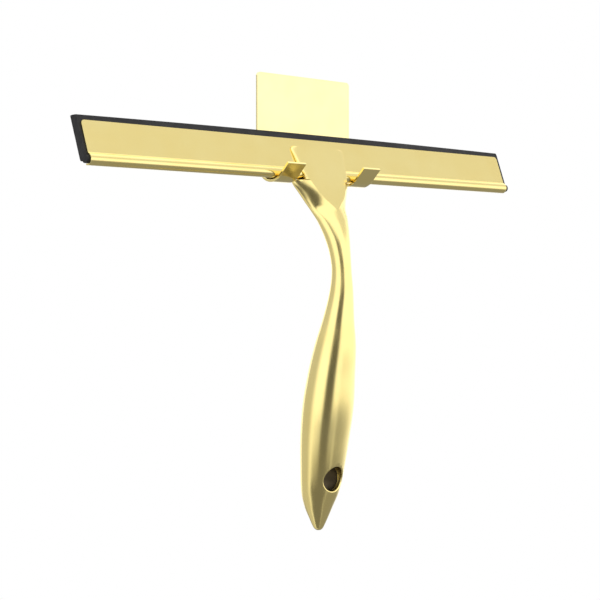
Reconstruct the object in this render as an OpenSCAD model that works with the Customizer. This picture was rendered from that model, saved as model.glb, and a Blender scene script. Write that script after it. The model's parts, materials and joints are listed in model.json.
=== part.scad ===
// Window squeegee hanging on its stick-on wall holder.
// The origin is the centre of the pad's wall face; +Z is up and -Y points out from the wall.
// "Out" is the distance in front of the holder plate's front face.

/* [Wall holder] */
// Width of the holder plate
plate_w = 68.5; // [64:0.5:74]
// Height of the holder plate
plate_h = 50; // [48:1:54]
// Thickness of the holder plate
plate_t = 1.2; // [1:0.1:1.5]
// Corner radius of the holder plate
plate_r = 2.2; // [1:0.1:4]
// Thickness of the adhesive pad
pad_t = 1; // [0.6:0.1:1.4]
// Width of each hook strip
hook_w = 12.8; // [10:0.1:13]
// Thickness of each hook strip
hook_t = 1.3; // [1:0.1:1.4]

/* [Blade and channel] */
// Length of the blade channel
channel_l = 305; // [250:5:360]
// Slope length of the channel's front, from its top edge to the bead's centre
face_h = 19.3; // [19:0.1:19.6]
// Thickness of the channel's sheet
sheet_t = 0.8; // [0.6:0.1:0.9]
// Corner radius at the channel's two upper corners
channel_r = 2; // [1:0.5:4]
// Thickness of the rubber behind the channel's front
rubber_t = 4.3; // [4:0.1:4.4]
// How far the rubber's front edge stands above the channel, along the slope
lip_front = 2.9; // [2:0.1:4]
// How far the rubber's wiping edge stands above the channel, along the slope
lip_back = 4.4; // [3:0.1:5]
// How far the rubber sticks out at its left end
lip_end_left = 1.5; // [0.5:0.1:3]
// How far the rubber sticks out at its right end
lip_end_right = 2.5; // [0.5:0.1:3]

/* [Handle] */
// Wall thickness of the two handle shells
wall = 1.2; // [1:0.1:1.5]
// Radius of the hang hole
hang_r = 6.5; // [5:0.1:6.8]
// Height of the hang hole's centre
hang_z = -187.6; // [-190:0.2:-184]

/* [Hidden] */
$fn = 64;
gold = "#d8bc62";
dark = "#2b2a2c";

// The wall lies this far behind the holder plate's front face
stand = pad_t + plate_t;

// The channel leans back by this angle about its front top edge
lean = 20;
edge_out = 7;
edge_z = -9.2;
bead_r = 3;
bead_proud = 1.35;
bead_in = bead_r - bead_proud;
bulb_r = bead_r - sheet_t - 0.15;
bead_out = edge_out + face_h * sin(lean) - bead_in * cos(lean);
bead_z = edge_z - face_h * cos(lean) - bead_in * sin(lean);
strip_low = face_h + 0.3;
rubber_back = sheet_t + 0.1 + rubber_t;

// The hooks bend under the bead, then run on as a straight lip that leans outwards
bend_r = 9;
bend_z = -22.6;
leg_top = -9.8;
lip_lean = 45;
lip_l = 8.5;

// The head's front face leans further than the channel, so the head thickens downwards
head_slope = tan(25);
head_out = 7.6;
seat_gap = 0.1;

// The clamp plate lies behind the rubber and follows the neck's flat back
clamp_gap = 0.3;
clamp_t = 1.5;
clamp_in = rubber_back + clamp_gap;
clamp_top = -8;
clamp_low = -37;
screw_x = 3.8;
screw_u = -30.5;
screw_r = 1.5;
screw_slack = 0.2;
screw_shank = 8;
washer_t = 0.6;

// The hang hole is lined by a tube that sits in a counterbore between the two shells' rims
tube_r = hang_r + wall;
tube_from = 5.9;
tube_to = 18.4;

// Handle sections below the bead: height, seam out, half-width, front out, front flat's half-width,
// shoulder slope, back out, back flat's half-width
SECTIONS = [
    [-31.2, 11.2, 20.8, 17.8, 13.0, 0.55, 9.3, 17],
    [-34, 11.9, 19.6, 19.2, 11.6, 0.55, 10.3, 15],
    [-37, 12.8, 17.6, 20.6, 10.0, 0.55, 11.4, 13],
    [-40, 13.9, 15.8, 22.0, 7.8, 0.5, 12.5, 11],
    [-43, 15.2, 14.2, 23.3, 4.6, 0.35, 13.6, 9.5],
    [-46, 16.8, 12.6, 24.7, 1.2, 0.2, 14.6, 8],
    [-49.5, 18.9, 11.0, 26.3, 0.2, 0.05, 15.5, 5],
    [-53, 20.9, 9.5, 27.9, 0, 0, 16.4, 3],
    [-61, 24.3, 7.1, 30.5, 0, 0, 18.4, 0.5],
    [-70, 26.6, 5.7, 32.0, 0, 0, 21.3, 0],
    [-79, 27.7, 5.3, 32.9, 0, 0, 22.5, 0],
    [-90, 27.4, 6.4, 33.7, 0, 0, 21.2, 0],
    [-104, 25.3, 8.6, 33.4, 0, 0, 17.2, 0],
    [-118, 22.9, 11.4, 33.5, 0, 0, 12.3, 0],
    [-133, 20.1, 13.1, 32.1, 0, 0, 8.1, 0],
    [-149, 17.8, 14.3, 30.6, 0, 0, 5.0, 0],
    [-166, 15.4, 13.8, 27.6, 0, 0, 3.2, 0],
    [-183, 13.4, 12.3, 24.3, 0, 0, 2.5, 0],
    [-195, 11.8, 10.6, 21.2, 0, 0, 2.4, 0],
    [-203, 10.7, 7.9, 17.7, 0, 0, 3.7, 0],
    [-209, 10.6, 5.3, 15.2, 0, 0, 6.0, 0],
    [-213, 10.5, 3.4, 13.4, 0, 0, 7.6, 0],
    [-215.5, 10.6, 1.9, 12.2, 0, 0, 9.0, 0]
];
// Head's half-width of flat face, by height
HEAD = [[-13.2, 16.4], [-13.7, 17.6], [-15, 18.4], [-19, 17.5], [-24, 16.4], [-28, 15.2], [-31.2, 14.2]];
head_draft = 0.8;
least_w = 0.15;
least_depth = 0.05;
head_rings = [-13.2, -13.5, -14.2, -16, -21, -25.1, -25.8, -26.8, -28.4, -29.6, -30.6, -31.05];
neck_rings = [-31.25, -32.6, -34.2, -38, -42, -46, -50];
grip_step = 8;
grip_rings = [for (z = [-55:-grip_step:-200]) z];
tip_rings = [-205, -209, -212, -214.2, -215.5];
// The shells are hollow between these heights, where the hollow fades out over two short ramps
cavity_top = -32.6;
cavity_low = -177;
top_ramp = 1.6;
low_ramp = 3;
SIDE = 5;

// Points along an arc, from one angle to another
function arc(cx, cz, r, from, to, n) = [
    for (i = [0:n]) let (a = from + (to - from) * i / n) [cx + r * cos(a), cz + r * sin(a)]
];
function clamp(v, lo = 0, hi = 1) = min(max(v, lo), hi);

// Smooth value of one column of a table at height z
function slope_at(rows, i, col) =
    let (j = max(i - 1, 0), k = min(i + 1, len(rows) - 1))
    (rows[k][col] - rows[j][col]) / (rows[k][0] - rows[j][0]);
function span_of(rows, z, i = 0) =
    i >= len(rows) - 2 || z >= rows[i + 1][0] ? i : span_of(rows, z, i + 1);
function table(rows, z, col) =
    let (
        i = span_of(rows, z),
        h = rows[i + 1][0] - rows[i][0],
        t = clamp((z - rows[i][0]) / h),
        p = rows[i][col],
        q = rows[i + 1][col],
        dp = slope_at(rows, i, col) * h,
        dq = slope_at(rows, i + 1, col) * h
    )
    p + t * (dp + t * (3 * (q - p) - 2 * dp - dq + t * (2 * (p - q) + dp + dq)));

// Front of the channel, bead included, at height z
function channel_front(z) =
    let (
        face = edge_out + (edge_z - z) * tan(lean),
        rise = bead_r * bead_r - (z - bead_z) * (z - bead_z),
        bead = rise > 0 ? bead_out + sqrt(rise) : 0
    )
    max(face, bead) + seat_gap;
function head_front(z) = head_out + (edge_z - z) * head_slope;

// One section as [seam out, half-width, front out, flat half-width, shoulder, back out, back flat]
function section(z) =
    z > -31.22
    ? let (w = table(HEAD, z, 1))
      [channel_front(z), w + head_draft, head_front(z), w, 0.3, channel_front(z), w]
    : [for (col = [1:7]) table(SECTIONS, z, col)];

// Quarter of an oval from p0 to p2, turned by its corner point p1
function quarter(p0, p1, p2) = [
    for (i = [0:SIDE])
        let (t = i / SIDE, a = (1 - t) * (1 - t), b = sqrt(2) * t * (1 - t), c = t * t)
        (a * p0 + b * p1 + c * p2) / (a + b + c)
];
// Right half of the front outline, from the middle of the face to the seam, shrunk by d
function front_side(s, d) =
    let (
        a = max(s[1] - d, 0.3 * s[1]),
        w = clamp(s[3], least_w, a * 0.98),
        f = max(s[2] - d, s[0] + 0.05)
    )
    quarter([w, f], [a, f - min((a - w) * s[4], (f - s[0]) * 0.9)], [a, s[0]]);
// Right half of the rear outline, from the middle of the back to the seam, shrunk by d
function rear_side(s, d) =
    let (
        a = max(s[1] - d, 0.3 * s[1]),
        w = clamp(s[6], least_w, a * 0.98),
        k = min(s[5] + d, s[0] - 0.05)
    )
    quarter([w, k], [a, k], [a, s[0]]);
function reversed(v) = [for (i = [len(v) - 1:-1:0]) v[i]];
function both_sides(half) = concat([for (p = reversed(half)) [-p[0], p[1]]], half);

// Ring of a half-shell at height z: the outer outline, then the inner one back
function shell_ring(z, front) =
    let (
        s = section(z),
        depth = clamp(min((cavity_top - z) / top_ramp, (z - cavity_low) / low_ramp), least_depth),
        outer = both_sides(front ? front_side(s, 0) : rear_side(s, 0)),
        hollow = both_sides(front ? front_side(s, wall) : rear_side(s, wall)),
        inner = [for (p = reversed(hollow)) [p[0], s[0] + (p[1] - s[0]) * depth]]
    )
    [for (p = concat(outer, inner)) [p[0], -(stand + p[1]), z]];

// Closed skin through rings of equal length, each an outer outline followed by its inner one
module loft(rings, flip = false) {
    n = len(rings[0]);
    count = len(rings);
    points = [for (r = rings) each r];
    sides = [
        for (i = [0:count - 2], j = [0:n - 1])
            let (a = i * n + j, b = i * n + (j + 1) % n, c = a + n, d = b + n)
            each [[a, b, d], [a, d, c]]
    ];
    half = n / 2;
    last = (count - 1) * n;
    caps = [
        for (j = [0:half - 2])
            let (a = j, b = j + 1, c = n - 2 - j, d = n - 1 - j)
            each [[a, c, b], [a, d, c], [last + a, last + b, last + c], [last + a, last + c, last + d]]
    ];
    faces = concat(sides, caps);
    polyhedron(points, flip ? [for (f = faces) reversed(f)] : faces);
}

// Extrusion along X, centred at x, of a drawing whose axes are out and Z
module across(x, w) {
    translate([x - w / 2, 0, 0])
        rotate([90, 0, 90])
            linear_extrude(w)
                mirror([1, 0])
                    translate([stand, 0])
                        children();
}
// Frame of the leaning channel: Y goes in through the sheet and Z up along it
module channel_frame() {
    translate([0, -(stand + edge_out), edge_z])
        rotate([-lean, 0, 0])
            children();
}
// Extrusion along X of a drawing whose axes are the channel frame's Y and Z
module along(l) {
    translate([-l / 2, 0, 0])
        rotate([90, 0, 90])
            linear_extrude(l)
                children();
}
// Upright outline, extruded through the sheet, with its own radius at each upper corner
module end_trim(l, top, r_left, r_right) {
    reach = 40;
    translate([0, reach / 2, 0])
        rotate([90, 0, 0])
            linear_extrude(reach)
                difference() {
                    translate([-l / 2, -reach])
                        square([l, reach + top]);
                    corner_cut(-l / 2, top, r_left, 1);
                    corner_cut(l / 2, top, r_right, -1);
                }
}
module corner_cut(x, top, r, side) {
    translate([x, top])
        difference() {
            translate([-r, -r])
                square([2 * r, 2 * r]);
            translate([side * r, -r])
                circle(r);
            translate([side > 0 ? r : -2 * r - 1, -3 * r])
                square([r + 1, 5 * r]);
        }
}
// Cylinder on the hang hole's axis
module hang_axis(from, to, r) {
    translate([0, -(stand + from), hang_z])
        rotate([90, 0, 0])
            cylinder(r = r, h = to - from);
}

// Double-sided foam pad between the plate and the wall
module adhesive_pad() {
    margin = 1.5;
    color("#f4f4ef")
        rotate([90, 0, 0])
            linear_extrude(pad_t)
                rounded_rect(plate_w - 2 * margin, plate_h - 2 * margin, plate_r);
}
module rounded_rect(w, h, r) {
    for (x = [-1, 1], z = [-1, 1])
        translate([x * (w / 2 - r), z * (h / 2 - r)])
            circle(r);
    square([w - 2 * r, h], center = true);
    square([w, h - 2 * r], center = true);
}
module holder_plate() {
    color(gold)
        translate([0, -pad_t, 0])
            rotate([90, 0, 0])
                linear_extrude(plate_t)
                    rounded_rect(plate_w, plate_h, plate_r);
}

// Strip welded to the plate's front and bent into a J with a straight leaning lip
module hook(x) {
    outer_r = bend_r + hook_t;
    lip = lip_l * [sin(lip_lean), cos(lip_lean)];
    outer = arc(outer_r, bend_z, outer_r, 180, 360 - lip_lean, 20);
    inner = arc(outer_r, bend_z, bend_r, 180, 360 - lip_lean, 20);
    tip = [outer[20] + lip, inner[20] + lip];
    color(gold)
        across(x, hook_w)
            polygon(concat([[0, leg_top]], outer, tip, reversed(inner), [[hook_t, leg_top]]));
}
module left_hook() {
    hook(-(plate_w - hook_w) / 2);
}
module right_hook() {
    hook((plate_w - hook_w) / 2);
}

// Folded sheet with a half-round bead along its lower edge
module blade_channel() {
    join = acos((sheet_t / 2 - bead_in) / (bead_r - sheet_t / 2));
    lip = -50;
    overlap = 0.72 * bead_r;
    color(gold)
        channel_frame()
            intersection() {
                along(channel_l) {
                    translate([0, -face_h + overlap])
                        square([sheet_t, face_h - overlap]);
                    translate([bead_in, -face_h])
                        difference() {
                            circle(bead_r);
                            circle(bead_r - sheet_t);
                            polygon([
                                [0, 0],
                                for (a = [lip, 0, 60, join]) 2 * bead_r * [cos(a), sin(a)]
                            ]);
                        }
                }
                end_trim(channel_l, 0, channel_r, channel_r);
            }
}
// Rubber strip with a slanted wiping edge and a bulb held in the bead
module rubber_blade() {
    length = channel_l + lip_end_left + lip_end_right;
    front = sheet_t + 0.1;
    heel = 1.4;
    enter = asin((face_h - strip_low) / bulb_r);
    leave = -360 + acos((front - bead_in) / bulb_r);
    color(dark)
        translate([(lip_end_right - lip_end_left) / 2, 0, 0])
            channel_frame()
                intersection() {
                    along(length)
                        polygon(concat(
                            [[front, lip_front], [rubber_back, lip_back]],
                            arc(rubber_back - heel, heel - strip_low, heel, 0, -90, 4),
                            arc(bead_in, -face_h, bulb_r, enter, leave, 20)
                        ));
                    end_trim(length, lip_back, 0.8, 3.2);
                }
}

// Outer half of the handle, with the head that lies over the channel's front
module handle_front_shell() {
    heights = concat(head_rings, neck_rings, grip_rings, tip_rings);
    color(gold)
        difference() {
            loft([for (z = heights) shell_ring(z, true)]);
            hang_axis(0, tube_to, tube_r);
            hang_axis(tube_to - 1, tube_to + 8, hang_r);
        }
}
// Inner half of the handle, towards the wall
module handle_rear_shell() {
    heights = concat(neck_rings, grip_rings, tip_rings);
    color(gold)
        difference() {
            loft([for (z = heights) shell_ring(z, false)], flip = true);
            hang_axis(0, tube_from + 1, hang_r);
            hang_axis(tube_from, tube_to, tube_r);
            channel_frame()
                for (x = [-1, 1])
                    translate([x * screw_x, clamp_in + 1, screw_u])
                        rotate([90, 0, 0])
                            cylinder(r = screw_r + screw_slack, h = 6);
        }
}
// Tube that lines the hang hole and ties the two shells together
module hang_hole_ferrule() {
    color(gold)
        translate([0, -(stand + tube_from), hang_z])
            rotate([90, 0, 0])
                rotate_extrude()
                    translate([hang_r, 0])
                        square([wall, tube_to - tube_from]);
}
// Tapped block inside the neck that the clamp screws pull on
module neck_core() {
    half_w = 6.5;
    front = -1.3;
    back = clamp_in - wall - 0.15;
    low = -36.2;
    height = 8.6;
    color("#9a9a9c")
        channel_frame()
            difference() {
                translate([-half_w, front, low])
                    cube([2 * half_w, back - front, height]);
                for (x = [-1, 1])
                    translate([x * screw_x, clamp_in, screw_u])
                        rotate([90, 0, 0])
                            cylinder(r = screw_r, h = screw_shank);
            }
}
// Plate that closes the rubber's back at the middle and is screwed to the neck
module rear_clamp_plate() {
    top_w = 13;
    low_w = 7;
    straight = 12;
    color(gold)
        channel_frame()
            translate([0, clamp_in + clamp_t, 0])
                rotate([90, 0, 0])
                    difference() {
                        linear_extrude(clamp_t)
                            polygon([
                                [-top_w, clamp_top],
                                [top_w, clamp_top],
                                [top_w, clamp_top - straight],
                                [low_w, clamp_low],
                                [-low_w, clamp_low],
                                [-top_w, clamp_top - straight]
                            ]);
                        for (x = [-1, 1])
                            translate([x * screw_x, screw_u, -1])
                                cylinder(r = screw_r + screw_slack, h = clamp_t + 2);
                    }
}
module lock_washers() {
    rim_r = 2.9;
    color("silver")
        channel_frame()
            for (x = [-1, 1])
                translate([x * screw_x, clamp_in + clamp_t + washer_t, screw_u])
                    rotate([90, 0, 0])
                        difference() {
                            cylinder(r = rim_r, h = washer_t);
                            translate([0, 0, -1])
                                cylinder(r = screw_r + screw_slack / 2, h = washer_t + 2);
                        }
}
// Two pan-head screws with a hex socket
module clamp_screws() {
    head_r = 2.75;
    head_h = 2;
    socket_r = 1.1;
    socket_depth = 1.2;
    color("silver")
        channel_frame()
            for (x = [-1, 1])
                translate([x * screw_x, clamp_in + clamp_t + washer_t, screw_u]) {
                    rotate([90, 0, 0])
                        cylinder(r = screw_r, h = screw_shank);
                    rotate([-90, 0, 0])
                        difference() {
                            cylinder(r = head_r, h = head_h);
                            translate([0, 0, head_h - socket_depth])
                                cylinder(r = socket_r, h = 2, $fn = 6);
                        }
                }
}

adhesive_pad();
holder_plate();
left_hook();
right_hook();
blade_channel();
rubber_blade();
handle_front_shell();
handle_rear_shell();
hang_hole_ferrule();
neck_core();
rear_clamp_plate();
lock_washers();
clamp_screws();
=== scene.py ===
"""Looks of the window squeegee hanging on its stick-on wall holder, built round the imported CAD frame.

Shapes are worked out in millimetres: x along the blade, "out" in front of the holder plate, z up.
"""

import json
import math

import bmesh
import bpy
import numpy as np
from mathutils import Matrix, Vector


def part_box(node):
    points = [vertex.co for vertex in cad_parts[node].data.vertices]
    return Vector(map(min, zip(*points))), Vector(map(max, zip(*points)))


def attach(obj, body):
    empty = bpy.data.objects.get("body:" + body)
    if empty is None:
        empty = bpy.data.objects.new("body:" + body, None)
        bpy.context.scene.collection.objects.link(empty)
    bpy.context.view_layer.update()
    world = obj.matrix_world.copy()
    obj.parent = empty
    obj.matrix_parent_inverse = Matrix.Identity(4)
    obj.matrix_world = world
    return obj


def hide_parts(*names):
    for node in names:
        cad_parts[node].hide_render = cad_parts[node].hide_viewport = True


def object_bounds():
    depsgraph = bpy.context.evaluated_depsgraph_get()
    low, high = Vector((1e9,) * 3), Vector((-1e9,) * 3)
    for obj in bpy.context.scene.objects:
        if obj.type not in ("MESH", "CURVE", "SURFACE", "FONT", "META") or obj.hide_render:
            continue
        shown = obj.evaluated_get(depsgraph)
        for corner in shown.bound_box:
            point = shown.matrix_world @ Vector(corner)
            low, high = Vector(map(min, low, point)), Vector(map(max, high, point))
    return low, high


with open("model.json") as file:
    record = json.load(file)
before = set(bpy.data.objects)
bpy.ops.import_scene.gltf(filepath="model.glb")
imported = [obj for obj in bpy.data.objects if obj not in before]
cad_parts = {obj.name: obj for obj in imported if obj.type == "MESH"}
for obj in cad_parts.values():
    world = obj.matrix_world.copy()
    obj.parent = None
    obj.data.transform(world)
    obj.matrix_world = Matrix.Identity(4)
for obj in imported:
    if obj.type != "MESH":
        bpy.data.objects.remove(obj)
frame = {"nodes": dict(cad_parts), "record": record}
cad_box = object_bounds()

MM = 0.001
STAND = -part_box("holder_plate")[0].y / MM

# Channel: sheet that leans back about its front top edge, with a bead along its lower edge
CHANNEL_L = (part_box("blade_channel")[1].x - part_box("blade_channel")[0].x) / MM
LEAN = math.radians(20)
EDGE_OUT = 7.0
EDGE_Z = -9.2
SHEET_T = 0.8
CHANNEL_R = 2.0
BEAD = (1.65, -19.3)
BEAD_R = 3.0
BEAD_FILLET = 0.8
BEAD_END = -50
SEAT_GAP = 0.1

# Rubber, in the channel's frame
RUBBER_L = (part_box("rubber_blade")[1].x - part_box("rubber_blade")[0].x) / MM
RUBBER_MID = (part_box("rubber_blade")[1].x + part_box("rubber_blade")[0].x) / 2 / MM
RUBBER_FRONT = 0.9
RUBBER_BACK = 5.2
LIP_FRONT = 2.9
LIP_BACK = 4.4
RUBBER_LOW = -19.6
HEEL_R = 1.4
BULB_R = 2.05
RUBBER_BOW = 0.9
END_R_LEFT = 0.8
END_R_RIGHT = 3.2

# Holder
PLATE_LOW, PLATE_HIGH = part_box("holder_plate")
PAD_LOW, PAD_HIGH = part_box("adhesive_pad")
PLATE_R = 2.2
HOOK_T = 1.3
HOOK_BEND_R = 9.0
HOOK_BEND_Z = -22.6
HOOK_TOP = -9.8
LIP_LEAN = math.radians(45)
LIP_L = 8.5

# Handle sections: height, seam out, half-width, front out, front flat's half-width, shoulder slope,
# back out, back flat's half-width
SECTIONS = [
    (-31.2, 11.2, 20.8, 17.8, 13.0, 0.55, 9.3, 17),
    (-34, 11.9, 19.6, 19.2, 11.6, 0.55, 10.3, 15),
    (-37, 12.8, 17.6, 20.6, 10.0, 0.55, 11.4, 13),
    (-40, 13.9, 15.8, 22.0, 7.8, 0.5, 12.5, 11),
    (-43, 15.2, 14.2, 23.3, 4.6, 0.35, 13.6, 9.5),
    (-46, 16.8, 12.6, 24.7, 1.2, 0.2, 14.6, 8),
    (-49.5, 18.9, 11.0, 26.3, 0.2, 0.05, 15.5, 5),
    (-53, 20.9, 9.5, 27.9, 0, 0, 16.4, 3),
    (-61, 24.3, 7.1, 30.5, 0, 0, 18.4, 0.5),
    (-70, 26.6, 5.7, 32.0, 0, 0, 21.3, 0),
    (-79, 27.7, 5.3, 32.9, 0, 0, 22.5, 0),
    (-90, 27.4, 6.4, 33.7, 0, 0, 21.2, 0),
    (-104, 25.3, 8.6, 33.4, 0, 0, 17.2, 0),
    (-118, 22.9, 11.4, 33.5, 0, 0, 12.3, 0),
    (-133, 20.1, 13.1, 32.1, 0, 0, 8.1, 0),
    (-149, 17.8, 14.3, 30.6, 0, 0, 5.0, 0),
    (-166, 15.4, 13.8, 27.6, 0, 0, 3.2, 0),
    (-183, 13.4, 12.3, 24.3, 0, 0, 2.5, 0),
    (-195, 11.8, 10.6, 21.2, 0, 0, 2.4, 0),
    (-203, 10.7, 7.9, 17.7, 0, 0, 3.7, 0),
    (-209, 10.6, 5.3, 15.2, 0, 0, 6.0, 0),
    (-213, 10.5, 3.4, 13.4, 0, 0, 7.6, 0),
    (-215.5, 10.6, 1.9, 12.2, 0, 0, 9.0, 0),
]
HEAD = [(-13.2, 16.4), (-13.7, 17.6), (-15, 18.4), (-19, 17.5), (-24, 16.4), (-28, 15.2), (-31.2, 14.2)]
HEAD_DRAFT = 0.8
HEAD_OUT = 7.6
HEAD_SLOPE = math.tan(math.radians(25))
HEAD_TOP = -13.2
HEAD_LOW = -31.22
TIP = -215.5
TIP_ROUND = 1.4
TIP_BLUNT = 0.45
LEAST_W = 0.15
LEAST_DEPTH = 0.05
WALL = 1.2
CAVITY_TOP = -32.6
CAVITY_LOW = -177
CURVE_STEPS = 22
FLAT_STEPS = 5

# Hang hole: a tube between the two shells, whose openings have rounded rims
HOLE_Z = frame["record"]["mounts"][1]["pos_m"][2] / MM
HOLE_R = 6.5
TUBE_R = HOLE_R + WALL
TUBE_BACK = 5.9
TUBE_FRONT = 18.4
RIM_ROUND = 0.9

# Clamp at the back of the neck, in the channel's frame
CLAMP_IN = 5.5
CLAMP_T = 1.5
CLAMP_OUTLINE = [(-13, -8), (13, -8), (13, -20), (7, -37), (-7, -37), (-13, -20)]
SCREW_X = 3.8
SCREW_UP = -30.5
SCREW_HOLE_R = 1.7
WASHER_T = 0.6


# ---------------------------------------------------------------- points and meshes

def spot(x, out, z):
    """Point in metres from x, the distance out from the holder plate, and z."""
    return Vector((x * MM, -(STAND + out) * MM, z * MM))


def leaning(x, inward, up):
    """Point in metres from the leaning channel's own frame."""
    out = EDGE_OUT - inward * math.cos(LEAN) - up * math.sin(LEAN)
    z = EDGE_Z - inward * math.sin(LEAN) + up * math.cos(LEAN)
    return spot(x, out, z)


def arc(cx, cy, r, start, end, steps):
    """Points along an arc, angles in degrees."""
    angles = [math.radians(start + (end - start) * i / steps) for i in range(steps + 1)]
    return [(cx + r * math.cos(a), cy + r * math.sin(a)) for a in angles]


def new_piece(name, verts, faces, material, sharp=32):
    """Mesh object with outward normals, smooth but for edges sharper than the angle."""
    mesh = bpy.data.meshes.new(name)
    mesh.from_pydata([tuple(v) for v in verts], [], faces)
    piece = bpy.data.objects.new(name, mesh)
    bpy.context.scene.collection.objects.link(piece)
    mesh.materials.append(material)
    clean(piece, sharp)
    return piece


def clean(piece, sharp=32):
    """Merges doubled points, turns the faces outwards and marks the sharp edges."""
    bm = bmesh.new()
    bm.from_mesh(piece.data)
    bmesh.ops.remove_doubles(bm, verts=bm.verts, dist=2e-6)
    bmesh.ops.dissolve_degenerate(bm, edges=bm.edges, dist=1e-6)
    bmesh.ops.recalc_face_normals(bm, faces=bm.faces)
    for face in bm.faces:
        face.smooth = True
    for edge in bm.edges:
        if len(edge.link_faces) == 2:
            edge.smooth = edge.calc_face_angle(0) < math.radians(sharp)
    bm.to_mesh(piece.data)
    bm.free()


def loft(rings, strip_caps=False):
    """Vertices and faces of a skin through closed rings of equal length, with both ends closed."""
    count, n = len(rings), len(rings[0])
    verts = [p for ring in rings for p in ring]
    faces = []
    for i in range(count - 1):
        for j in range(n):
            a, b = i * n + j, i * n + (j + 1) % n
            faces.append((a, b, b + n, a + n))
    last = (count - 1) * n
    if strip_caps:
        for j in range(n // 2 - 1):
            quad = (j, j + 1, n - 2 - j, n - 1 - j)
            faces.append(tuple(reversed(quad)))
            faces.append(tuple(last + k for k in quad))
    else:
        faces.append(tuple(reversed(range(n))))
        faces.append(tuple(last + k for k in range(n)))
    return verts, faces


def bevel(piece, width, angle=50, segments=3):
    """Rounds the piece's sharp edges, width in millimetres."""
    mod = piece.modifiers.new("edge_round", "BEVEL")
    mod.width = width * MM
    mod.segments = segments
    mod.limit_method = "ANGLE"
    mod.angle_limit = math.radians(angle)
    mod.harden_normals = True
    return piece


def apply_modifiers(piece):
    """Keeps the result of the modifiers as the piece's own mesh."""
    depsgraph = bpy.context.evaluated_depsgraph_get()
    made = bpy.data.meshes.new_from_object(piece.evaluated_get(depsgraph))
    piece.modifiers.clear()
    old, piece.data = piece.data, made
    bpy.data.meshes.remove(old)


def cut(piece, cutters, sharp=32):
    """Takes the cutters out of the piece and deletes them."""
    for cutter in cutters:
        mod = piece.modifiers.new("cut", "BOOLEAN")
        mod.object = cutter
        mod.solver = "EXACT"
        apply_modifiers(piece)
        bpy.data.objects.remove(cutter)
    clean(piece, sharp)


def lathe(profile, place, steps=64):
    """Vertices and faces of a closed (radius, along) outline turned round an axis; place makes the points."""
    rings = []
    for i in range(steps):
        a = 2 * math.pi * i / steps
        rings.append([place(r * math.cos(a), r * math.sin(a), along) for r, along in profile])
    verts = [p for ring in rings for p in ring]
    n = len(profile)
    faces = []
    for i in range(steps):
        for j in range(n):
            k = (j + 1) % n
            a, b = i * n, (i + 1) % steps * n
            faces.append((a + j, a + k, b + k, b + j))
    return verts, faces


# ---------------------------------------------------------------- materials

class Tree:
    """Short way to add and join shader nodes."""

    def __init__(self, tree):
        self.tree = tree
        self.tree.nodes.clear()

    def add(self, kind, **settings):
        node = self.tree.nodes.new(kind)
        for name, value in settings.items():
            setattr(node, name, value)
        return node

    def set(self, node, **values):
        for name, value in values.items():
            node.inputs[name.replace("_", " ")].default_value = value
        return node

    def join(self, source, target):
        self.tree.links.new(source, target)

    def math(self, operation, a, b=None):
        node = self.add("ShaderNodeMath", operation=operation)
        for socket, value in zip(node.inputs, (a, b)):
            if isinstance(value, (int, float)):
                socket.default_value = value
            elif value is not None:
                self.join(value, socket)
        return node.outputs[0]

    def noise(self, vector, scale, detail=4, rough=0.55):
        node = self.add("ShaderNodeTexNoise")
        self.set(node, Scale=scale, Detail=detail, Roughness=rough)
        self.join(vector, node.inputs["Vector"])
        return node.outputs["Fac"]

    def remap(self, value, low, high, start=0.3, end=0.7):
        node = self.add("ShaderNodeMapRange")
        self.set(node, From_Min=start, From_Max=end, To_Min=low, To_Max=high)
        self.join(value, node.inputs["Value"])
        return node.outputs["Result"]

    def mix(self, share, first, second):
        node = self.add("ShaderNodeMix", data_type="RGBA")
        for socket, value in ((node.inputs[0], share), (node.inputs[6], first), (node.inputs[7], second)):
            if isinstance(value, tuple):
                socket.default_value = (*value, 1)
            else:
                self.join(value, socket)
        return node.outputs[2]

    def bump(self, height, strength, distance):
        node = self.add("ShaderNodeBump")
        self.set(node, Strength=strength, Distance=distance)
        self.join(height, node.inputs["Height"])
        return node.outputs["Normal"]


def surface(name):
    """New material: its tree, its Principled shader and its object coordinates."""
    material = bpy.data.materials.new(name)
    material.use_nodes = True
    tree = Tree(material.node_tree)
    shader = tree.add("ShaderNodeBsdfPrincipled")
    output = tree.add("ShaderNodeOutputMaterial")
    tree.join(shader.outputs[0], output.inputs[0])
    return material, tree, shader, tree.add("ShaderNodeTexCoord").outputs["Object"]


def metal(name, colour, deep, rough, grain, grain_scale, grain_bump, smudge=0.03):
    """Coated metal with brush lines along the short axis of grain, soft smudges and paler worn edges."""
    material, tree, shader, coords = surface(name)
    stretch = tree.add("ShaderNodeMapping")
    stretch.inputs["Scale"].default_value = grain
    tree.join(coords, stretch.inputs["Vector"])
    lines = tree.noise(stretch.outputs[0], grain_scale, detail=5, rough=0.6)
    clouds = tree.noise(coords, 38, detail=3)
    edges = tree.remap(tree.add("ShaderNodeNewGeometry").outputs["Pointiness"], 0, 1, 0.53, 0.62)
    tone = tree.mix(tree.remap(clouds, 0, 1), colour, deep)
    worn = tuple(min(1.0, c * 1.04 + 0.03) for c in colour)
    tree.join(tree.mix(edges, tone, worn), shader.inputs["Base Color"])
    soft = tree.math("ADD", tree.remap(lines, rough - 0.03, rough + 0.03), tree.remap(clouds, 0, smudge))
    tree.join(soft, shader.inputs["Roughness"])
    tree.join(tree.bump(lines, 0.35, grain_bump * MM), shader.inputs["Normal"])
    shader.inputs["Metallic"].default_value = 1.0
    return material


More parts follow.
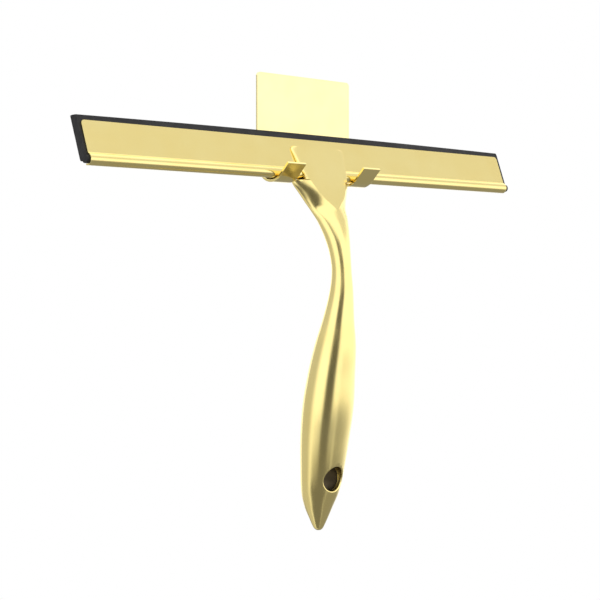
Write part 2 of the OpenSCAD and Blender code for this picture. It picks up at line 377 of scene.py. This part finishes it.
def rubber_material():
    """Black moulded rubber: fine grain, faint streaks along the strip and a dusting of grey."""
    material, tree, shader, coords = surface("rubber_black")
    along = tree.add("ShaderNodeMapping")
    along.inputs["Scale"].default_value = (0.06, 1, 1)
    tree.join(coords, along.inputs["Vector"])
    streaks = tree.noise(along.outputs[0], 420, detail=3)
    grain = tree.noise(coords, 2600, detail=2)
    dust = tree.noise(coords, 90, detail=5, rough=0.7)
    base = tree.mix(tree.remap(dust, 0, 1, 0.42, 0.75), (0.017, 0.017, 0.018), (0.034, 0.033, 0.033))
    tree.join(base, shader.inputs["Base Color"])
    tree.join(tree.remap(streaks, 0.52, 0.72), shader.inputs["Roughness"])
    height = tree.math("ADD", grain, tree.math("MULTIPLY", streaks, 0.6))
    tree.join(tree.bump(height, 0.4, 0.05 * MM), shader.inputs["Normal"])
    shader.inputs["Specular IOR Level"].default_value = 0.25
    return material


def foam_material():
    """White closed-cell foam tape."""
    material, tree, shader, coords = surface("foam_white")
    cells = tree.add("ShaderNodeTexVoronoi")
    tree.set(cells, Scale=2200.0)
    tree.join(coords, cells.inputs["Vector"])
    mottle = tree.noise(coords, 160)
    tree.join(
        tree.mix(tree.remap(mottle, 0, 1), (0.86, 0.86, 0.83), (0.74, 0.74, 0.70)),
        shader.inputs["Base Color"],
    )
    tree.join(tree.bump(cells.outputs["Distance"], 0.5, 0.12 * MM), shader.inputs["Normal"])
    shader.inputs["Roughness"].default_value = 0.85
    return material


GOLD = (1.0, 0.84, 0.36)
GOLD_DEEP = (0.97, 0.79, 0.31)
PALE_GOLD = (0.98, 0.87, 0.47)
PALE_GOLD_DEEP = (0.97, 0.86, 0.41)
HANDLE_GOLD = metal("gold_handle", GOLD, GOLD_DEEP, 0.20, (1, 1, 0.03), 900, 0.006)
PLATE_GOLD = metal("gold_plate", PALE_GOLD, PALE_GOLD_DEEP, 0.14, (0.03, 1, 1), 900, 0.004)
HOOK_GOLD = metal("gold_hook", GOLD, GOLD_DEEP, 0.12, (1, 0.05, 0.05), 900, 0.004)
CHANNEL_GOLD = metal("gold_channel", GOLD, GOLD_DEEP, 0.17, (0.02, 1, 1), 1100, 0.006)
# Hang-hole tube: its dark brown base colour is painted shade for the inside of the bore, not a darker finish.
TUBE_PAINTED_SHADE = metal("tube_painted_shade", (0.14, 0.105, 0.06), (0.09, 0.07, 0.04), 0.45, (1, 0.05, 1), 900, 0.01)
STEEL = metal("steel_bare", (0.62, 0.62, 0.64), (0.5, 0.5, 0.52), 0.26, (1, 0.1, 1), 900, 0.01)
RUBBER = rubber_material()
FOAM = foam_material()


# ---------------------------------------------------------------- channel and rubber

def stations(length, r_left, r_right):
    """Places along X, close together round the two end corners."""
    half = length / 2
    left = [-half + r_left * (1 - math.cos(math.radians(a))) for a in range(0, 90, 9)]
    right = [half - r_right * (1 - math.cos(math.radians(a))) for a in range(81, -1, -9)]
    middle = np.linspace(-half + r_left, half - r_right, 62)
    return [*left, *middle, *right]


def corner_drop(x, length, r_left, r_right):
    """How far the top comes down at x, for the round end corners."""
    r = r_left if x < 0 else r_right
    past = max(0.0, abs(x) - (length / 2 - r))
    return r - math.sqrt(max(0.0, r * r - past * past))


def channel_wall():
    """The channel's section as pairs of a front point and its direction into the sheet."""
    bx, by = BEAD
    rise = math.sqrt((BEAD_R + BEAD_FILLET) ** 2 - (BEAD_FILLET + bx) ** 2)
    fx, fy = -BEAD_FILLET, by + rise
    join = math.degrees(math.atan2(fy - by, fx - bx))
    pairs = [((0, fy * t), (1, 0)) for t in np.linspace(0, 1, 9)]
    for x, y in arc(0, 0, 1, 0, join - 180, 7)[1:]:
        pairs.append(((fx + BEAD_FILLET * x, fy + BEAD_FILLET * y), (x, y)))
    for x, y in arc(0, 0, 1, join, 360 + BEAD_END, 40)[1:]:
        pairs.append(((bx + BEAD_R * x, by + BEAD_R * y), (-x, -y)))
    return pairs


def blade_channel():
    wall = channel_wall()
    straight = wall[8][0][1]
    rings = []
    for x in stations(CHANNEL_L, CHANNEL_R, CHANNEL_R):
        drop = corner_drop(x, CHANNEL_L, CHANNEL_R, CHANNEL_R)
        front, back = [], []
        for (a, b), (na, nb) in wall:
            if b > straight:
                b = -drop + (b / straight) * (straight + drop)
            front.append(leaning(x, a, b))
            back.append(leaning(x, a + SHEET_T * na, b + SHEET_T * nb))
        rings.append(front + back[::-1])
    verts, faces = loft(rings, strip_caps=True)
    return bevel(new_piece("blade_channel_sheet", verts, faces, CHANNEL_GOLD), 0.18)


def rubber_outline():
    """The rubber's section, from the front of its wiping edge round to the front face."""
    bx, by = BEAD
    enter = math.degrees(math.asin((RUBBER_LOW - by) / BULB_R))
    leave = math.degrees(math.acos((RUBBER_FRONT - bx) / BULB_R)) - 360
    lip = [
        (RUBBER_FRONT + (RUBBER_BACK - RUBBER_FRONT) * t, LIP_FRONT + (LIP_BACK - LIP_FRONT) * t)
        for t in np.linspace(0, 1, 5)
    ]
    back = [(RUBBER_BACK, LIP_BACK + (RUBBER_LOW + HEEL_R - LIP_BACK) * t) for t in (0.08, 0.3, 0.6)]
    heel = arc(RUBBER_BACK - HEEL_R, RUBBER_LOW + HEEL_R, HEEL_R, 0, -90, 8)
    bulb = arc(bx, by, BULB_R, enter, leave, 32)
    front = [(RUBBER_FRONT, bulb[-1][1] + (LIP_FRONT - bulb[-1][1]) * t) for t in (0.35, 0.7, 0.94)]
    return [*lip, *back, *heel, *bulb, *front]


def rubber_blade():
    outline = rubber_outline()
    rings = []
    for x in stations(RUBBER_L, END_R_LEFT, END_R_RIGHT):
        top = LIP_BACK - corner_drop(x, RUBBER_L, END_R_LEFT, END_R_RIGHT)
        bow = RUBBER_BOW * (1 - (2 * x / RUBBER_L) ** 2)
        ring = []
        for inward, up in outline:
            lift = bow * min(1.0, max(0.0, up / LIP_FRONT))
            ring.append(leaning(x + RUBBER_MID, inward, min(up, top) + lift))
        rings.append(ring)
    verts, faces = loft(rings)
    return bevel(new_piece("rubber_strip", verts, faces, RUBBER, sharp=40), 0.22, angle=55)


# ---------------------------------------------------------------- wall holder

def rounded_rect(low, high, r):
    """Outline in x and z, in millimetres, of a box's face with round corners."""
    corners = [(high.x, high.z, 0), (low.x, high.z, 90), (low.x, low.z, 180), (high.x, low.z, 270)]
    points = []
    for x, z, start in corners:
        cx = x / MM - math.copysign(r, x)
        cz = z / MM - math.copysign(r, z)
        points += arc(cx, cz, r, start, start + 90, 10)
    return points


def slab(name, low, high, material, edge):
    """Flat plate that fills a box, with round corners."""
    outline = rounded_rect(low, high, PLATE_R)
    rings = [[Vector((x * MM, y, z * MM)) for x, z in outline] for y in (low.y, high.y)]
    verts, faces = loft(rings)
    return bevel(new_piece(name, verts, faces, material), edge)


def hook(name, node):
    """Strip bent into a J with a straight leaning lip, on the plate's front."""
    low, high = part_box(node)
    outer_r = HOOK_BEND_R + HOOK_T
    end = 360 - math.degrees(LIP_LEAN)
    outer = arc(outer_r, HOOK_BEND_Z, outer_r, 180, end, 44)
    inner = arc(outer_r, HOOK_BEND_Z, HOOK_BEND_R, 180, end, 44)
    for edge in (outer, inner):
        out, z = edge[-1]
        edge += [(out + LIP_L * t * math.sin(LIP_LEAN), z + LIP_L * t * math.cos(LIP_LEAN)) for t in (0.5, 1)]
    section = [(0, HOOK_TOP), *outer, *inner[::-1], (HOOK_T, HOOK_TOP)]
    rings = []
    for x in np.linspace(low.x / MM, high.x / MM, 4):
        rings.append([spot(x, out, z) for out, z in section])
    verts, faces = loft(rings, strip_caps=True)
    return bevel(new_piece(name, verts, faces, HOOK_GOLD), 0.22)


# ---------------------------------------------------------------- handle

def table(rows, z, column):
    """Smooth value of one column of a table at height z."""
    i = 0
    while i < len(rows) - 2 and z < rows[i + 1][0]:
        i += 1

    def slope(k):
        a, b = max(k - 1, 0), min(k + 1, len(rows) - 1)
        return (rows[b][column] - rows[a][column]) / (rows[b][0] - rows[a][0])

    h = rows[i + 1][0] - rows[i][0]
    t = min(max((z - rows[i][0]) / h, 0), 1)
    p, q, dp, dq = rows[i][column], rows[i + 1][column], slope(i) * h, slope(i + 1) * h
    return p + t * (dp + t * (3 * (q - p) - 2 * dp - dq + t * (2 * (p - q) + dp + dq)))


def channel_front(z):
    """How far out the channel's front is at height z, bead included."""
    face = EDGE_OUT + (EDGE_Z - z) * math.tan(LEAN)
    bead = leaning(0, *BEAD)
    bead_out, bead_z = -bead.y / MM - STAND, bead.z / MM
    rise = BEAD_R ** 2 - (z - bead_z) ** 2
    return max(face, bead_out + math.sqrt(rise) if rise > 0 else face) + SEAT_GAP


def section(z):
    """Seam out, half-width, front out, flat's half-width, shoulder, back out and back flat at height z."""
    if z > HEAD_LOW:
        w = table(HEAD, z, 1)
        seat = channel_front(z)
        return [seat, w + HEAD_DRAFT, HEAD_OUT + (EDGE_Z - z) * HEAD_SLOPE, w, 0.3, seat, w]
    return [table(SECTIONS, z, column) for column in range(1, 8)]


def quarter(p0, p1, p2):
    """Quarter of an oval from p0 to p2, turned by its corner point p1."""
    points = []
    for i in range(CURVE_STEPS + 1):
        t = (1 - math.cos(math.pi * i / CURVE_STEPS)) / 2
        a, b, c = (1 - t) ** 2, math.sqrt(2) * t * (1 - t), t * t
        whole = a + b + c
        points.append(tuple((a * u + b * v + c * w) / whole for u, v, w in zip(p0, p1, p2)))
    return points


def half_outline(s, inset, front):
    """Right half of a shell's outline, from the middle of its face to the seam, moved in by inset."""
    seam, width, front_out, front_w, shoulder, back_out, back_w = s
    a = max(width - inset, 0.3 * width)
    if front:
        w = min(max(front_w, LEAST_W), a * 0.98)
        f = max(front_out - inset, seam + 0.05)
        p1 = (a, f - min((a - w) * shoulder, (f - seam) * 0.9))
    else:
        w = min(max(back_w, LEAST_W), a * 0.98)
        f = min(back_out + inset, seam - 0.05)
        p1 = (a, f)
    flat = [(w * i / FLAT_STEPS, f) for i in range(1, FLAT_STEPS)]
    return flat + quarter((w, f), p1, (a, seam))


def shell_ring(z, front):
    """Ring of a half-shell at height z: the outer outline, then the inner one back."""
    s = section(z)
    depth = min(max(min((CAVITY_TOP - z) / 1.6, (z - CAVITY_LOW) / 3), LEAST_DEPTH), 1)
    outer = half_outline(s, 0, front)
    hollow = half_outline(s, WALL, front)
    inner = [(x, s[0] + (out - s[0]) * depth) for x, out in hollow]
    outer = tip_rounded(outer, s[0], z)
    inner = tip_rounded(inner, s[0], z)
    outline = [(-x, out) for x, out in outer[::-1]] + outer
    back = inner[::-1] + [(-x, out) for x, out in inner]
    return [spot(x, out, z) for x, out in outline + back]


def tip_rounded(points, seam, z):
    """Draws the outline in towards the seam's middle over the last stretch, for a blunt round tip."""
    past = (TIP + TIP_ROUND - z) / TIP_ROUND
    if past <= 0:
        return points
    share = TIP_BLUNT + (1 - TIP_BLUNT) * math.sqrt(max(0.0, 1 - past * past))
    return [(x * share, seam + (out - seam) * share) for x, out in points]


def heights(top):
    """Heights of the rings from the top down: close together at the head, the neck and the tip."""
    head = [HEAD_TOP - d for d in (0, 0.06, 0.2, 0.4, 0.7, 1.1, 1.5, 2.1, 3, 4.5, 6.5, 9, 11)]
    head += list(np.arange(-25, HEAD_LOW, -0.45))
    neck = list(np.arange(HEAD_LOW - 0.06, -56, -0.8))
    grip = list(np.arange(-56, TIP + TIP_ROUND, -1.5))
    tip = [TIP + TIP_ROUND * (1 - math.sin(math.radians(a))) for a in range(0, 91, 10)]
    return [z for z in head + neck + grip + tip if z <= top]


def handle_shell(name, front):
    top = HEAD_TOP if front else HEAD_LOW - 0.03
    verts, faces = loft([shell_ring(z, front) for z in heights(top)], strip_caps=True)
    shell = new_piece(name, verts, faces, HANDLE_GOLD, sharp=40)
    if front:
        cutters = [hole_cutter([(TUBE_R, 0), (TUBE_R, TUBE_FRONT)]), rim_cutter(front)]
    else:
        cutters = [hole_cutter([(TUBE_R, TUBE_BACK), (TUBE_R, TUBE_FRONT)]), rim_cutter(front)]
        cutters += screw_cutters(0.5, 6.5)
    cut(shell, cutters, sharp=30)
    return shell


def on_hole_axis(a, b, out):
    return spot(a, out, HOLE_Z + b)


def hole_cutter(profile):
    """Solid round the hang hole's axis from a (radius, out) line."""
    steps = 96
    rings = []
    for r, out in profile:
        rings.append([on_hole_axis(*p, out) for p in arc(0, 0, r, 0, 360 - 360 / steps, steps - 1)])
    return new_piece("hole_cutter", *loft(rings), HANDLE_GOLD)


def skin_out(x, z, front):
    """How far out a shell's surface is at x and z."""
    side = half_outline(section(z), 0, front)
    return float(np.interp(abs(x), [p[0] for p in side], [p[1] for p in side]))


def rim_cutter(front):
    """Solid for the hang hole's opening in one shell, with a rim rounded along the shell's surface."""
    steps = 96
    away = 1 if front else -1
    r = HOLE_R
    shape = [(r + RIM_ROUND * (1 - math.cos(t)), RIM_ROUND * (1 - math.sin(t)))
             for t in np.radians([0, 15, 30, 45, 60, 72])]
    shape.append((r + RIM_ROUND + 0.25, -0.3))
    start = TUBE_FRONT - 0.5 if front else TUBE_BACK + 0.5
    rings = [[on_hole_axis(*p, start) for p in arc(0, 0, r, 0, 360 - 360 / steps, steps - 1)]]
    for radius, depth in shape:
        circle = arc(0, 0, radius, 0, 360 - 360 / steps, steps - 1)
        rings.append([on_hole_axis(a, b, skin_out(a, HOLE_Z + b, front) - away * depth) for a, b in circle])
    rings.append([on_hole_axis(a, b, 32 if front else -1.5) for a, b in circle])
    return new_piece("rim_cutter", *loft(rings), HANDLE_GOLD)


def screw_cutters(start, end):
    """Clearance holes for the two clamp screws, between two depths in the channel's frame."""
    steps = 40
    found = []
    for side in (-1, 1):
        circle = arc(side * SCREW_X, SCREW_UP, SCREW_HOLE_R, 0, 360 - 360 / steps, steps - 1)
        rings = [[leaning(x, depth, up) for x, up in circle] for depth in (start, end)]
        found.append(new_piece("screw_cutter", *loft(rings), HANDLE_GOLD))
    return found


def hang_hole_ferrule():
    """Tube that lines the hang hole, with rounded rims; its dark brown colour is painted shade."""
    rim = WALL / 2
    middle = HOLE_R + rim
    profile = arc(middle, TUBE_FRONT - rim, rim, 0, 180, 8)
    profile += [(HOLE_R, TUBE_FRONT - 2 - i * 3.2) for i in range(4)]
    profile += arc(middle, TUBE_BACK + rim, rim, 180, 360, 8)
    verts, faces = lathe(profile, on_hole_axis, steps=96)
    return new_piece("hang_hole_tube", verts, faces, TUBE_PAINTED_SHADE)


# ---------------------------------------------------------------- clamp at the neck's back

def rear_clamp_plate():
    rings = [[leaning(x, depth, up) for x, up in CLAMP_OUTLINE] for depth in (CLAMP_IN, CLAMP_IN + CLAMP_T)]
    plate = new_piece("clamp_plate", *loft(rings), CHANNEL_GOLD)
    cut(plate, screw_cutters(CLAMP_IN - 1, CLAMP_IN + CLAMP_T + 1))
    return bevel(plate, 0.2)


def on_screw_axis(side):
    def place(a, b, inward):
        return leaning(side * SCREW_X + a, inward, SCREW_UP + b)
    return place


def lock_washer(name, side):
    """Split spring washer: a square wire bent round, with a gap."""
    seat = CLAMP_IN + CLAMP_T
    place = on_screw_axis(side)
    rings = []
    for i in range(61):
        a = math.radians(96 + 348 * i / 60)
        rings.append([
            place(r * math.cos(a), r * math.sin(a), seat + d)
            for r, d in ((1.6, 0), (2.9, 0), (2.9, WASHER_T), (1.6, WASHER_T))
        ])
    return bevel(new_piece(name, *loft(rings), STEEL), 0.08)


def clamp_screw(name, side):
    """Pan-head screw with a hex socket and a ridged shank."""
    seat = CLAMP_IN + CLAMP_T + WASHER_T
    place = on_screw_axis(side)
    steps = 48
    head_r, head_h, socket_r, socket_depth, shank, pitch = 2.75, 2.0, 1.1, 1.2, 8.0, 0.5
    profile = [(0.02, seat - shank), (1.1, seat - shank)]
    for i in range(12):
        along = seat - shank + 0.4 + i * pitch
        profile += [(1.22, along), (1.48, along + pitch / 2)]
    profile += [(1.48, seat - 0.5), (1.48, seat), (head_r, seat)]
    profile += [(r, seat + d) for r, d in arc(head_r - 0.9, head_h - 0.9, 0.9, 0, 90, 7)]
    rings = []
    for r, along in profile:
        rings.append([place(*p, along) for p in arc(0, 0, r, 0, 360 - 360 / steps, steps - 1)])
    for r, along in ((socket_r + 0.12, seat + head_h), (socket_r, seat + head_h - 0.12),
                     (socket_r, seat + head_h - socket_depth)):
        rings.append([place(*p, along) for p in hexagon(r, steps)])
    return new_piece(name, *loft(rings), STEEL)


def hexagon(r, steps):
    """Points round a hexagon of corner radius r."""
    points = []
    for i in range(steps):
        a = 2 * math.pi * i / steps
        reach = r * math.cos(math.pi / 6) / math.cos((a + math.pi / 6) % (math.pi / 3) - math.pi / 6)
        points.append((reach * math.cos(a), reach * math.sin(a)))
    return points


# ---------------------------------------------------------------- camera, floor and studio light

def camera():
    """Long lens to the left of the front, level with the handle."""
    yaw, pitch = math.radians(44.19), math.radians(-0.25)
    look = Vector((
        math.sin(yaw) * math.cos(pitch), math.cos(yaw) * math.cos(pitch), math.sin(pitch)
    ))
    data = bpy.data.cameras.new("camera")
    data.lens = 97.92
    data.sensor_width = 36
    data.clip_start = 0.01
    data.clip_end = 50
    cam = bpy.data.objects.new("camera", data)
    cam.location = (-0.609, -0.6252, -0.090)
    cam.rotation_euler = look.to_track_quat("-Z", "Y").to_euler()
    bpy.context.scene.collection.objects.link(cam)
    bpy.context.scene.camera = cam


def floor():
    """Pale floor well below the handle's tip."""
    material = bpy.data.materials.new("floor_white")
    material.use_nodes = True
    tree = Tree(material.node_tree)
    glow = tree.set(tree.add("ShaderNodeEmission"), Color=(1, 1, 1, 1), Strength=1.0)
    tree.join(glow.outputs[0], tree.add("ShaderNodeOutputMaterial").inputs[0])
    mesh = bpy.data.meshes.new("floor")
    size, level = 6.0, cad_box[0].z - 0.1
    mesh.from_pydata([(-size, -size, level), (size, -size, level), (size, size, level), (-size, size, level)],
                     [], [(0, 1, 2, 3)])
    mesh.materials.append(material)
    plane = bpy.data.objects.new("floor", mesh)
    bpy.context.scene.collection.objects.link(plane)
    plane.visible_glossy = False
    plane.visible_diffuse = False


# A plain studio: a bright surround with a few broad soft areas, in degrees. Azimuth 0 is straight in front
# of the wall and 90 to its right: azimuth from and to, elevation from and to, softness, brightness.
OPEN_LEVEL = 1.3
AREAS = {
    "grey wall, back left": (-195, -110, -90, 25, 15, 0.60),
    "black flag, front left": (-55, -15, -30, 15, 6, 0.12),
    "shaded floor, left": (-100, 10, -90, -20, 8, 0.20),
    "grey floor, right": (10, 195, -90, -15, 8, 0.30),
    "grey panel, upper right": (35, 85, 20, 45, 5, 0.80),
}


def within(tree, value, low, high, soft):
    """1 where the value is between low and high, fading to 0 over the soft edge."""
    away = tree.math("ABSOLUTE", tree.math("SUBTRACT", value, (low + high) / 2))
    node = tree.add("ShaderNodeMapRange", interpolation_type="SMOOTHSTEP")
    half = (high - low) / 2
    tree.set(node, From_Min=max(0.0, half - soft), From_Max=half + soft, To_Min=1.0, To_Max=0.0)
    tree.join(away, node.inputs["Value"])
    return node.outputs["Result"]


def studio():
    """Plain soft surround that lights the object; the camera sees plain white behind it."""
    world = bpy.data.worlds.new("studio")
    bpy.context.scene.world = world
    world.use_nodes = True
    tree = Tree(world.node_tree)
    axes = tree.add("ShaderNodeSeparateXYZ")
    tree.join(tree.add("ShaderNodeTexCoord").outputs["Generated"], axes.inputs[0])
    x, y, z = axes.outputs
    turn = tree.math("ARCTAN2", x, tree.math("MULTIPLY", y, -1.0))
    azimuth = tree.math("MULTIPLY", turn, 180 / math.pi)
    rise = tree.math("MULTIPLY", tree.math("ARCSINE", z), 180 / math.pi)
    level = OPEN_LEVEL
    for left, right, low, high, soft, bright in AREAS.values():
        mask = tree.math("MULTIPLY", within(tree, azimuth, left, right, soft), within(tree, rise, low, high, soft))
        level = tree.math("ADD", level, tree.math("MULTIPLY", mask, tree.math("SUBTRACT", bright, level)))
    seen = tree.add("ShaderNodeLightPath").outputs["Is Camera Ray"]
    background = tree.add("ShaderNodeBackground")
    tree.join(tree.mix(seen, level, (1.0, 1.0, 1.0)), background.inputs["Color"])
    tree.join(background.outputs[0], tree.add("ShaderNodeOutputWorld").inputs[0])


def soft_light(name, place, size, power):
    """Soft panel for the rubber and the foam, aimed at the object's middle."""
    data = bpy.data.lights.new(name, "AREA")
    data.shape = "RECTANGLE"
    data.size, data.size_y = size
    data.energy = power
    light = bpy.data.objects.new(name, data)
    light.location = place
    middle = (cad_box[0] + cad_box[1]) / 2
    light.rotation_euler = (middle - light.location).to_track_quat("-Z", "Y").to_euler()
    light.visible_glossy = False
    light.visible_camera = False
    bpy.context.scene.collection.objects.link(light)


# ---------------------------------------------------------------- assembly

def fit(piece, body, slot, *nodes):
    """Rides the piece on its body, in place of its CAD nodes. The slot is not used."""
    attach(piece, body)
    if nodes:
        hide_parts(*nodes)


view = bpy.context.scene.view_settings
view.view_transform = "Standard"
view.look = "None"
camera()
floor()
studio()
soft_light("key_panel", (-0.9, -1.2, 0.9), (0.9, 0.9), 9)
soft_light("back_panel", (0.7, 1.2, 0.7), (0.9, 0.9), 7)

pad = slab("foam_pad", PAD_LOW, PAD_HIGH, FOAM, 0.12)
fit(pad, "wall_holder", "foam_tape", "adhesive_pad")
plate = slab("wall_plate", PLATE_LOW, PLATE_HIGH, PLATE_GOLD, 0.25)
fit(plate, "wall_holder", "gold_polished", "holder_plate")
for side in ("left", "right"):
    fit(hook(f"hook_{side}", f"{side}_hook"), "wall_holder", "gold_polished", f"{side}_hook")

fit(blade_channel(), "squeegee", "gold_brushed", "blade_channel")
fit(rubber_blade(), "blade", "black_rubber", "rubber_blade")
fit(handle_shell("handle_front", True), "squeegee", "gold_polished", "handle_front_shell")
fit(handle_shell("handle_rear", False), "squeegee", "gold_polished", "handle_rear_shell")
# The tube's dark brown colour is painted shade for the inside of the hang hole.
fit(hang_hole_ferrule(), "squeegee", "gold_dark", "hang_hole_ferrule")
fit(rear_clamp_plate(), "squeegee", "gold_brushed", "rear_clamp_plate")
for side, label in ((-1, "left"), (1, "right")):
    fit(lock_washer(f"lock_washer_{label}", side), "squeegee", "plain_steel", "lock_washers")
    fit(clamp_screw(f"clamp_screw_{label}", side), "squeegee", "plain_steel", "clamp_screws")

core = frame["nodes"]["neck_core"]
core.data.materials.clear()
core.data.materials.append(STEEL)
